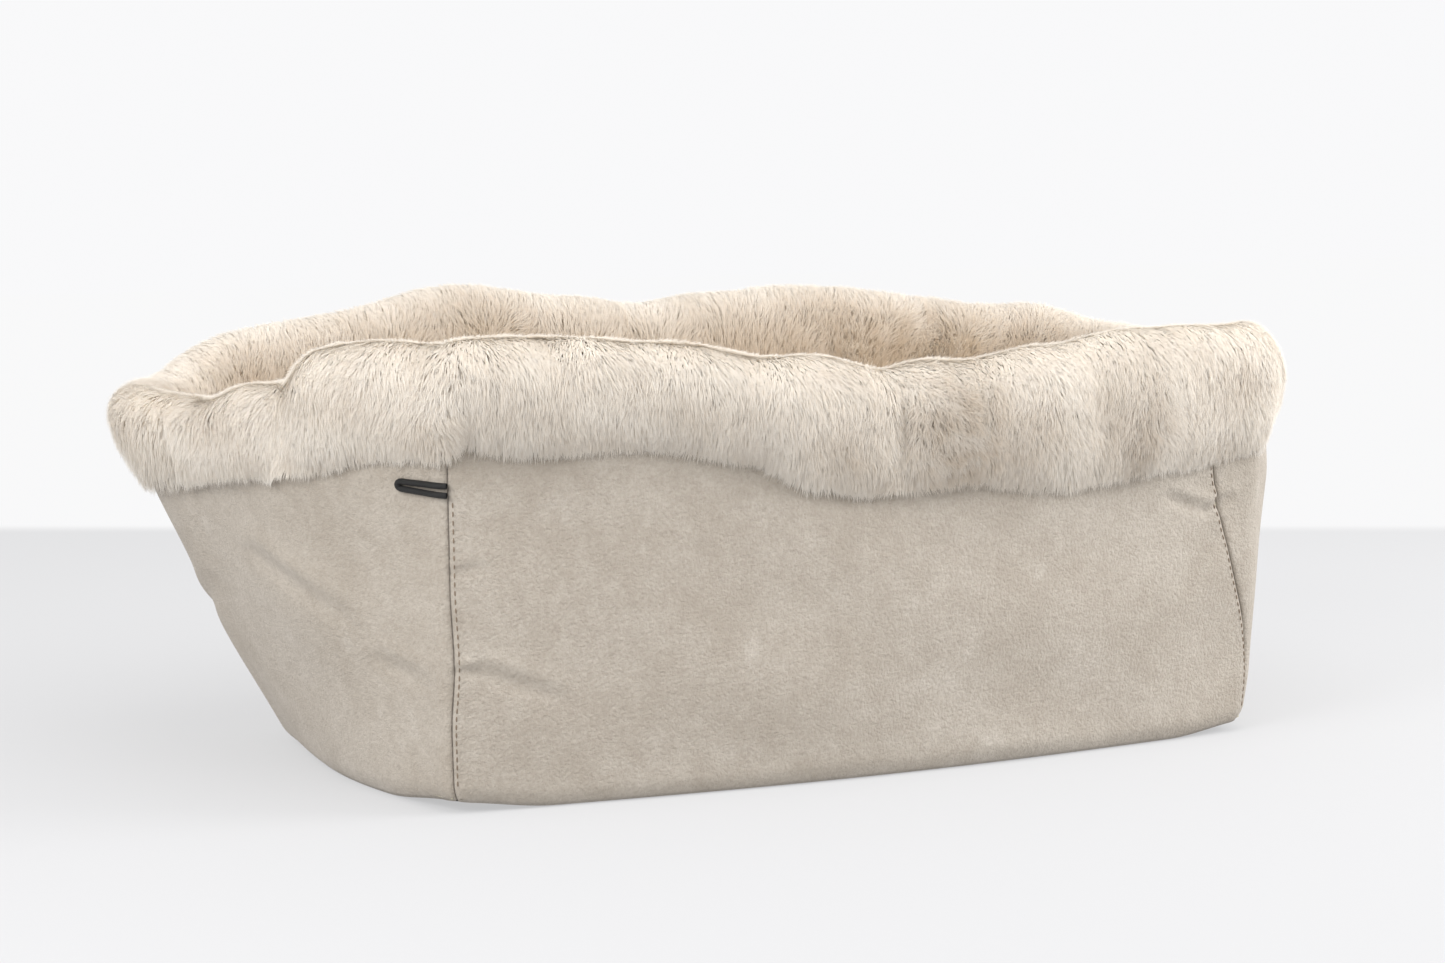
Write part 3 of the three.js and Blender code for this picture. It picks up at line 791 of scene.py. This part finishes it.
def pelt_point(run, row):
    """The fabric that the pile grows from. Rows go up the inside, over the roll and down."""
    station = station_at(run, PELT_Z)
    rim = eased(RIM, run) + 0.0016 * soft_waves(run, 0 * run, 21, 0.07)
    seams = valley(run, 0, 0.006) + valley(np.abs(run), PELT_HALF, 0.006)
    fold = valley(run, -0.318, 0.011)
    rim = rim - 0.002 * valley(run, 0, 0.012) - 0.006 * fold
    hem = eased(HEM, run) + HEM_RISE
    inside = np.clip(row / ROWS_IN, 0, 1)
    over = np.clip((row - ROWS_IN) / ROWS_OVER, 0, 1) * np.pi / 2
    down = np.clip((row - ROWS_IN - ROWS_OVER) / ROWS_OUT, 0, 1)
    swelling = np.clip(down / SWELL_ROWS, 0, 1) * np.pi / 2
    tucking = np.clip((down - SWELL_ROWS) / TUCK_ROWS, 0, 1) * HEM_TURN
    drop = rim + ROLL_R - hem
    plump = 1 + 0.22 * soft_waves(run, 0 * run, 8, 0.08) - 0.75 * seams - 0.9 * fold
    plump = CUFF_OUT * (plump - 0.6 * valley(np.abs(run), 0.43, 0.13))
    z = FLOOR_Z + 0.001 + (rim - FLOOR_Z - 0.001) * inside + ROLL_R * np.sin(over)
    z -= drop * SWELL_DROP * (1 - np.cos(swelling))
    z -= drop * TUCK_DROP * np.sin(tucking) / math.sin(HEM_TURN)
    inset = ROLL_CENTRE_IN + ROLL_R * np.cos(over)
    inset -= (ROLL_CENTRE_IN + plump) * np.sin(swelling)
    inset += (plump + 0.0008) * (1 - np.cos(tucking)) / (1 - math.cos(HEM_TURN))
    puff_in = np.sin(np.pi * inside) * 0.003 * (1 + 0.8 * soft_waves(run, z, 33, 0.10))
    inner = 1 - np.clip((row - ROWS_IN) / 8, 0, 1)
    inset = inset + puff_in * (over == 0) - inner * 0.004 * seams
    spot = outline(station, z, 0)
    return spot - outward(station, z) * inset[..., None]


fur_cloth = Finish("fur_backing_cloth", Roughness=0.95, Sheen_Weight=0.3)
nap = fur_cloth.noise(fur_cloth.object_place(), 260, 3, 0.6)
fur_cloth.shade(Base_Color=fur_cloth.mix(nap, dyed(222, 209, 190), dyed(242, 233, 218)))
fur_cloth.raise_grain(nap, 0.001)

fur = Finish("cream_fur_pile", Roughness=0.85, Sheen_Weight=0.25, Sheen_Roughness=0.5)
hair = fur.add("ShaderNodeUVMap", {"uv_map": "OFBake"})
parts = fur.add("ShaderNodeSeparateXYZ", {}, {0: hair})
lightness = Tone(fur, parts.socket.node.outputs[0])
along = Tone(fur, parts.socket.node.outputs[1])
root_to_tip = fur.stretch(along, 0.05, 0.85)
dark = fur.mix(root_to_tip, dyed(178, 158, 132), dyed(208, 190, 166))
light = fur.mix(root_to_tip, dyed(243, 236, 225), dyed(251, 247, 240))
coat = fur.mix(lightness, dark, light)
fur.shade(Base_Color=coat)
fur.blend_in(0.5, fur.add("ShaderNodeBsdfTranslucent", {}, {0: coat}))

picks = np.random.default_rng(12)


def pelt_sampler(half):
    """Places, normals and the two surface directions of a pelt, on its grid."""
    ends = (-PELT_HALF, 0) if half < 0 else (0, PELT_HALF)
    runs = np.linspace(*ends, PELT_COLUMNS + 1)
    run, row = np.meshgrid(runs, np.arange(PELT_ROWS + 1.0), indexing="ij")
    at = pelt_point(run.ravel(), row.ravel()).reshape(run.shape + (3,))
    round_way = np.gradient(at, axis=0)
    hem_way = np.gradient(at, axis=1)
    out = np.cross(hem_way, round_way)
    area = np.linalg.norm(out, axis=-1)
    out /= area[..., None]
    hem_way /= np.linalg.norm(hem_way, axis=-1)[..., None]
    round_way = np.cross(out, hem_way)
    return run, row, at, out, hem_way, round_way, area


def pick_roots(grid, count, weight):
    """count places on a pelt, spread evenly by area and weight: fractional grid indexes."""
    area = grid[6] * weight
    cells = (area[:-1, :-1] + area[1:, 1:]).ravel()
    chosen = picks.choice(len(cells), count, p=cells / cells.sum())
    i, j = np.unravel_index(chosen, (area.shape[0] - 1, area.shape[1] - 1))
    return i + picks.random(count), j + picks.random(count)


def on_grid(field, i, j):
    i0, j0 = i.astype(int), j.astype(int)
    fi, fj = (i - i0)[..., None], (j - j0)[..., None]
    if field.ndim == 2:
        field = field[..., None]
    low = field[i0, j0] * (1 - fj) + field[i0, j0 + 1] * fj
    high = field[i0 + 1, j0] * (1 - fj) + field[i0 + 1, j0 + 1] * fj
    return low * (1 - fi) + high * fi


def tufts(run, height, pitch, seed):
    """Each place's nearest tuft middle, and a number of its own from 0 to 1."""
    shifts = np.random.default_rng(seed).random((4096, 3))
    cx, cz = np.floor(run / pitch).astype(int), np.floor(height / pitch).astype(int)
    best = np.full(run.shape, 9.0)
    middle = np.zeros(run.shape + (2,))
    own = np.zeros(run.shape)
    for dx in (-1, 0, 1):
        for dz in (-1, 0, 1):
            key = ((cx + dx) * 73 + (cz + dz) * 1291) % 4096
            mx = (cx + dx + shifts[key, 0]) * pitch
            mz = (cz + dz + shifts[key, 1]) * pitch
            off = np.hypot(run - mx, height - mz)
            nearer = off < best
            best = np.where(nearer, off, best)
            middle[nearer] = np.stack([mx, mz], -1)[nearer]
            own = np.where(nearer, shifts[key, 2], own)
    return middle, own


def ruffled(run, row):
    """Patches, 0 to 1, where the pile is ruffled: its strands stand up and swirl more there and are
    coloured darker.
    """
    spots = (
        (0.030, 80, 0.026, 16, 1.0), (0.075, 84, 0.020, 10, 0.35), (0.150, 84, 0.012, 12, 0.6),
        (-0.032, 84, 0.008, 9, 0.5), (-0.235, 84, 0.012, 8, 0.4), (0.125, 80, 0.010, 12, 0.35),
        (0.62, 44, 0.085, 13, 0.95), (-0.74, 40, 0.022, 12, 0.8), (0.50, 42, 0.05, 12, 0.8),
        (-0.60, 82, 0.05, 9, 0.3), (0.40, 80, 0.03, 10, 0.3),
    )
    total = 0 * run
    for middle, line, wide, tall, share in spots:
        total += share * np.exp(-(((run - middle) / wide) ** 2) - ((row - line) / tall) ** 2)
    return np.clip(total, 0, 1)


def grow_pile(name, grid, count, weight):
    """Strands as narrow tapered ribbons with one joint, leaning over towards the hem and drawn
    together in tufts."""
    i, j = pick_roots(grid, count, weight)
    run, row = on_grid(grid[0], i, j)[:, 0], on_grid(grid[1], i, j)[:, 0]
    root = on_grid(grid[2], i, j)
    out = unit(on_grid(grid[3], i, j))
    hem_way = unit(on_grid(grid[4], i, j))
    round_way = np.cross(out, hem_way)
    spread = row * ROW_PITCH
    ruffle_share = ruffled(run, row)
    swirl = 0.38 * soft_waves(run, spread, 51, 0.06) + 0.18 * soft_waves(run, spread, 52, 0.02)
    middle, own = tufts(run, spread, TUFT, 5)
    fine_middle, fine_own = tufts(run, spread, FINE_TUFT, 6)
    swirl += (own - 0.5) * 0.12 + (fine_own - 0.5) * 0.10 + picks.normal(0, 0.20, count)
    swirl *= 1 + 2.4 * ruffle_share
    hanging = np.clip((row - ROWS_IN - ROWS_OVER - 10) / 16, 0, 1)[:, None] * np.array([0, 0, -0.6])
    further = np.minimum(j + 3.2, PELT_ROWS - 0.001)  # each hair's upper half follows the fabric
    out_further = unit(on_grid(grid[3], i, further))
    hem_further = unit(on_grid(grid[4], i, further))
    ways = []
    for up, on in ((out, hem_way), (out_further, hem_further)):
        comb = on * np.cos(swirl)[:, None] + np.cross(up, on) * np.sin(swirl)[:, None]
        ways.append((up, unit(comb + hanging)))
    lay = 1 + 0.06 * soft_waves(run, spread, 53, 0.04) + picks.normal(0, 0.04, count)
    lay = lay * (1 - 0.35 * ruffle_share)
    length = PILE_L * (1 + picks.normal(0, 0.06, count)) * (0.96 + 0.08 * own)
    joints = [root]
    for (up, comb), lean in zip(ways, HAIR_LEANS):
        tilt = np.clip(lean * lay, 0.1, 1.42)
        way = up * np.cos(tilt)[:, None] + comb * np.sin(tilt)[:, None]
        joints.append(joints[-1] + way * (length * 0.5)[:, None])
    for middles, pulls in ((middle, (0.01, 0.04)), (fine_middle, (0.02, 0.06))):
        pull_x, pull_z = (middles[:, 0] - run)[:, None], (middles[:, 1] - spread)[:, None]
        for k, pull in enumerate(pulls):
            joints[k + 1] = joints[k + 1] + (round_way * pull_x + hem_way * pull_z) * pull
    points = np.stack(joints, 1)
    flat = unit(np.cross(np.gradient(points, axis=1), out[:, None, :]))
    width = HAIR_HALF_WIDTH * (1 + picks.normal(0, 0.15, count))[:, None, None]
    reach = flat[:, :2] * width
    left, right = points[:, :2] - reach, points[:, :2] + reach
    ribbon = np.stack([left[:, 0], right[:, 0], left[:, 1], right[:, 1], points[:, 2]], 1)
    mesh = bpy.data.meshes.new(name)
    mesh.vertices.add(count * 5)
    mesh.vertices.foreach_set("co", ribbon.astype(np.float32).ravel())
    order = np.array([1, 3, 2, 0, 3, 4, 2])
    loops = (np.arange(count)[:, None] * 5 + order).ravel()
    mesh.loops.add(len(loops))
    mesh.loops.foreach_set("vertex_index", loops)
    starts = (np.arange(count)[:, None] * 7 + np.array([0, 4])).ravel()
    mesh.polygons.add(len(starts))
    mesh.polygons.foreach_set("loop_start", starts)
    mesh.update(calc_edges=True)
    # Painted shade: strands are coloured darker down the inside of the wall, fading out towards the
    # rim.
    inner = 1 - np.clip((row - ROWS_IN + 8) / 14, 0, 1)
    tone = 0.86 + 0.06 * soft_waves(run, spread, 61, 0.05) + 0.05 * (own - 0.5)
    tone += 0.06 * (fine_own - 0.5) + picks.normal(0, 0.05, count) - INNER_PAINTED_SHADE * inner
    tone -= RUFFLED_DARKER * ruffle_share * np.clip(0.15 + 0.9 * own + 0.4 * fine_own - 0.25, 0, 1)
    tone = np.clip(tone, 0.03, 0.97)
    sides = np.array([-1, 1, -1, 1, 0]) * 0.0015
    along = np.array([0.02, 0.02, 0.5, 0.5, 0.98])
    u = (tone[:, None] + sides)[:, order]
    v = np.broadcast_to(along[order], u.shape)
    uv = mesh.uv_layers.new(name="OFBake")
    uv.uv.foreach_set("vector", np.stack([u, v], -1).astype(np.float32).ravel())
    mesh.polygons.foreach_set("use_smooth", np.ones(len(starts), bool))
    up = np.stack([out, unit(out + out_further), out_further], 1)
    shading = unit(up + 0.28 * unit(np.cross(flat, np.gradient(points, axis=1))))
    normals = shading[:, [0, 0, 1, 1, 2]]
    mesh.normals_split_custom_set_from_vertices(normals.reshape(-1, 3))
    pile = bpy.data.objects.new(name, mesh)
    bpy.context.collection.objects.link(pile)
    fur.put_on(pile)
    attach(pile, "bed")
    return pile


for half, word in ((-1, "left"), (1, "right")):
    grid = pelt_sampler(half)
    start = -PELT_HALF if half < 0 else 0.0

    def pelt_place(across, up):
        return pelt_point(start + across * PELT_HALF, up * PELT_ROWS)

    pelt = woven_grid("fur_pelt_" + word, pelt_place, PELT_COLUMNS // 2, PELT_ROWS)
    flip_faces(pelt)
    fur_cloth.put_on(pelt)
    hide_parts("fur_lining_" + word)
    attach(pelt, "bed")
    run, row = grid[0], grid[1]
    front = np.abs(run) < PILE_FRONT
    for zone, picked, count in (
        ("cuff_front", front & (row >= ROWS_IN), 64000),
        ("cuff_front_under", front & (row >= ROWS_IN), 38000),
        ("cuff_back", ~front & (row >= ROWS_IN), 40000),
        ("wall_front", front & (row <= ROWS_IN), 32000),
        ("wall_back", ~front & (row <= ROWS_IN), 50000),
    ):
        weight = picked * np.where(row < 16, 0.25, 1.0)
        grow_pile(f"pile_{zone}_{word}", grid, count, weight)


# Cushion: a boxed pad of soft foam in its own cover, loose in the well. The foam swells as cloth
# under air pressure, held within narrow limits, and its crown is a formula. The cover's panels
# are then drawn over it.
CUSHION_IN = 0.0369
CUSHION_BACK_IN = 0.0459
CUSHION_CORNER_R = 0.028
CUSHION_LOW, CUSHION_TOP = 0.0079, 0.0539
SIDE_SWELL, TOP_SWELL = 0.0016, 0.0035  # most that the foam may swell
CROWN = 0.0085
COVER_OFF, COVER_T = 0.0004, 0.0009
BOXING_LOW, BOXING_W = 0.0094, 0.0430
BOXING_ENDS = STRETCH_ENDS[3]
STRIP_W = 0.0134
STRIP_Y = 0.0812
ZIP_HALF = 0.1700
SWELL_FRAMES = 20


def no_lift(share, spots):
    return 0 * share


pad = filled_plan("cushion_foam", 0.0100, CUSHION_IN + 0.003, CUSHION_BACK_IN + 0.0024,
                  CUSHION_CORNER_R - 0.002, (60, 34), no_lift)
thicken(pad, 0.0415)
evened = pad.modifiers.new("evened", "REMESH")
evened.mode = "VOXEL"
evened.voxel_size = 0.005
bpy.ops.object.modifier_apply(modifier="evened")
cut = corners_of(pad)
swell = pad.modifiers.new("swell", "CLOTH")
swell.settings.use_pressure = True
swell.settings.uniform_pressure_force = 4
swell.settings.effector_weights.gravity = 0
swell.point_cache.frame_end = SWELL_FRAMES
for step in range(1, SWELL_FRAMES + 1):
    bpy.context.scene.frame_set(step)
bpy.ops.object.modifier_apply(modifier="swell")
bpy.context.scene.frame_set(1)
grown = corners_of(pad) - cut
middle = (cut.max(0) + cut.min(0)) / 2
half_size = (cut.max(0) - cut.min(0)) / 2
u, v = ((cut - middle) / half_size)[:, 0], ((cut - middle) / half_size)[:, 1]
dome = np.clip(1 - np.abs(u) ** 2.6, 0, 1) * np.clip(1 - np.abs(v) ** 2.2, 0, 1)
upward = np.clip((cut[:, 2] - middle[2]) / half_size[2], 0, 1)
level = np.linalg.norm(grown[:, :2], axis=1)
grown[:, :2] *= np.minimum(1, SIDE_SWELL / np.maximum(level, 1e-6))[:, None]
# The back stays flat for the zip.
grown[:, 1] = np.where(cut[:, 1] > cut[:, 1].max() - 0.008, 0, grown[:, 1])
crown = CROWN * dome * (1 + 0.10 * soft_waves(cut[:, 0], cut[:, 1], 91, 0.16))
grown[:, 2] = (np.clip(grown[:, 2], 0, TOP_SWELL) + crown) * upward
move_corners(pad, cut + grown)
finer = pad.modifiers.new("finer", "SUBSURF")
finer.levels = 1
finer.render_levels = 1
bpy.ops.object.modifier_apply(modifier="finer")
bpy.ops.object.shade_smooth()
foam.put_on(pad)
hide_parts("cushion_foam_pad")
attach(pad, "cushion")


def over_pad(spots, off):
    """Spots drawn on to the foam and lifted off it."""
    found = np.array(spots)
    for k, spot in enumerate(spots):
        hit, place, normal, face = pad.closest_point_on_mesh(spot)
        found[k] = np.array(place) + np.array(normal) * off
    return found


def cushion_edge(station, z):
    spots = outline(station, 0 * station + FLOOR_Z, CUSHION_IN, CUSHION_BACK_IN, CUSHION_CORNER_R)
    spots[:, 2] = z
    return spots


plush = Finish("oatmeal_plush", Roughness=0.9, Sheen_Weight=0.15, Sheen_Roughness=0.5)
lay = plush.object_place()
curl = plush.noise(lay, 330, 5, 0.75)
clump = plush.noise(lay, 95, 4, 0.6)
brushed = plush.noise(lay, 14, 2, 0.5)
plush.shade(Base_Color=plush.mix(plush.stretch(curl * 0.5 + clump * 0.3 + brushed * 0.2, 0.34, 0.62),
                                 dyed(176, 160, 138), dyed(222, 211, 194)))
plush.raise_grain(curl * 0.6 + clump * 0.8, 0.0022)

top_panel = filled_plan("cushion_top_panel", CUSHION_TOP, CUSHION_IN, CUSHION_BACK_IN,
                        CUSHION_CORNER_R, (150, 84), no_lift)
bottom_panel = filled_plan("cushion_bottom_panel", CUSHION_LOW + 0.0006, CUSHION_IN,
                           CUSHION_BACK_IN, CUSHION_CORNER_R, (90, 50), no_lift)


def boxing_place(across, up):
    return cushion_edge((across * 2 - 1) * BOXING_ENDS, BOXING_LOW + up * BOXING_W)


boxing = woven_grid("cushion_boxing", boxing_place, 420, 22)


def back_band(low, width, y):
    """The places of a level band across the cushion's back."""

    def place(across, up):
        return np.stack([(across * 2 - 1) * ZIP_HALF, 0 * up + y, low + up * width], -1)

    return place


upper_strip = woven_grid(
    "cushion_back_strip_over_zip", back_band(0.0390, STRIP_W, STRIP_Y), 170, 8)
lower_strip = woven_grid(
    "cushion_back_strip_under_zip", back_band(BOXING_LOW, STRIP_W, STRIP_Y), 170, 8)

for panel, cad_node, finish in (
    (top_panel, "cushion_cover_top", plush),
    (bottom_panel, "cushion_cover_bottom", lining),
    (boxing, "cushion_cover_boxing", lining),
    (upper_strip, "cushion_back_strip_upper", lining),
    (lower_strip, "cushion_back_strip_lower", lining),
):
    move_corners(panel, over_pad(corners_of(panel), COVER_OFF))
    if panel in (bottom_panel, upper_strip, lower_strip):
        flip_faces(panel)
    thicken(panel, COVER_T)
    finish.put_on(panel)
    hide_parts(cad_node)
    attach(panel, "cushion")

# Piping: a covered cord sewn into the seams round the cushion's top and bottom.
PIPING_R = 0.0016
for word, z in (("top", 0.0527), ("bottom", 0.0093)):
    stations = np.linspace(-HALF, HALF, 721)[:-1]
    line = over_pad(cushion_edge(stations, z), 0.0009)
    for step in range(6):
        line = (np.roll(line, 1, 0) + 2 * line + np.roll(line, -1, 0)) / 4
    line[:, 2] = np.maximum(line[:, 2], CUSHION_LOW + PIPING_R)
    ahead = unit(np.roll(line, -1, 0) - np.roll(line, 1, 0))
    aside = unit(np.cross(ahead, np.array([0, 0, 1.0])))
    above = np.cross(aside, ahead)

    def round_piping(turn, along):
        k = np.rint(along * 720).astype(int) % 720
        angle = (turn * 2 * np.pi)[:, None]
        return line[k] + (np.cos(angle) * aside[k] + np.sin(angle) * above[k]) * PIPING_R

    piping = woven_grid("cushion_piping_" + word, round_piping, 10, 720)
    close_up(piping)
    lining.put_on(piping)
    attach(piping, "cushion")
    panel = top_panel if word == "top" else bottom_panel


# Zip: two woven tapes sewn in behind the back strips, with a nylon coil moulded as teeth that
# mesh in the middle, a metal slider and puller, and a metal stop at each end.
TAPE_W = 0.0050
TAPE_Y, COIL_Y = 0.0810, 0.0814
ZIP_Z = 0.0309  # middle of the back
TEETH = 222  # on each side
TOOTH_PITCH = 0.0015
TOOTH_HALF = (0.00062, 0.00130, 0.00165)
TEETH_OFF = 0.00085  # from the middle of the chain
zip_cloth = Finish("woven_zip_tape", Roughness=0.8)
tape_place = zip_cloth.object_place()
ribs = zip_cloth.wave(tape_place, 400, "X")
rows_up = zip_cloth.wave(tape_place, 620, "Z")
zip_cloth.shade(Base_Color=zip_cloth.mix(ribs * 0.5 + rows_up * 0.5,
                                         dyed(146, 135, 120), dyed(182, 171, 156)))
zip_cloth.raise_grain(ribs + rows_up, 0.0002)

for word, tape_low, strip in (("upper", 0.0337, upper_strip), ("lower", 0.0231, lower_strip)):
    tape = woven_grid("zip_tape_cloth_" + word, back_band(tape_low, TAPE_W, TAPE_Y), 170, 4)
    thicken(tape, 0.0006)
    zip_cloth.put_on(tape)
    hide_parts("zip_tape_" + word)
    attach(tape, "cushion")

coil = Finish("nylon_coil", Roughness=0.42)
moulding = coil.noise(coil.object_place(), 600, 3)
coil.shade(Base_Color=coil.mix(moulding, dyed(128, 117, 102), dyed(158, 147, 131)))
bpy.ops.mesh.primitive_uv_sphere_add(segments=6, ring_count=5, radius=1)
tooth = bpy.context.object
for corner in tooth.data.vertices:
    corner.co = [c * half for c, half in zip(corner.co, TOOTH_HALF)]
teeth = [tooth]
for k in range(TEETH):
    for side in (-1, 1):
        copy = tooth.copy()
        copy.data = tooth.data.copy()
        shift = TOOTH_PITCH * (k - (TEETH - 0.5) / 2 + side * 0.25)
        for corner in copy.data.vertices:
            corner.co.x += shift
            corner.co.y += COIL_Y
            corner.co.z += ZIP_Z + side * TEETH_OFF
        bpy.context.collection.objects.link(copy)
        teeth.append(copy)
bpy.data.objects.remove(teeth.pop(0))
chain = joined("zip_coil_teeth", teeth)
coil.put_on(chain)
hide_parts("zip_chain")
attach(chain, "cushion")

nickel = Finish("brushed_nickel", Metallic=1.0)
brushing = nickel.noise(nickel.object_place(1, 6, 1), 900, 4)
nickel.shade(Base_Color=nickel.mix(brushing, dyed(150, 146, 138), dyed(190, 186, 178)),
             Roughness=nickel.stretch(brushing, 0.3, 0.7, 0.28, 0.46))
nickel.raise_grain(brushing, 0.00005)
for part in ("zip_slider", "zip_puller", "zip_stop_left", "zip_stop_right"):
    nickel.put_on(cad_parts[part])
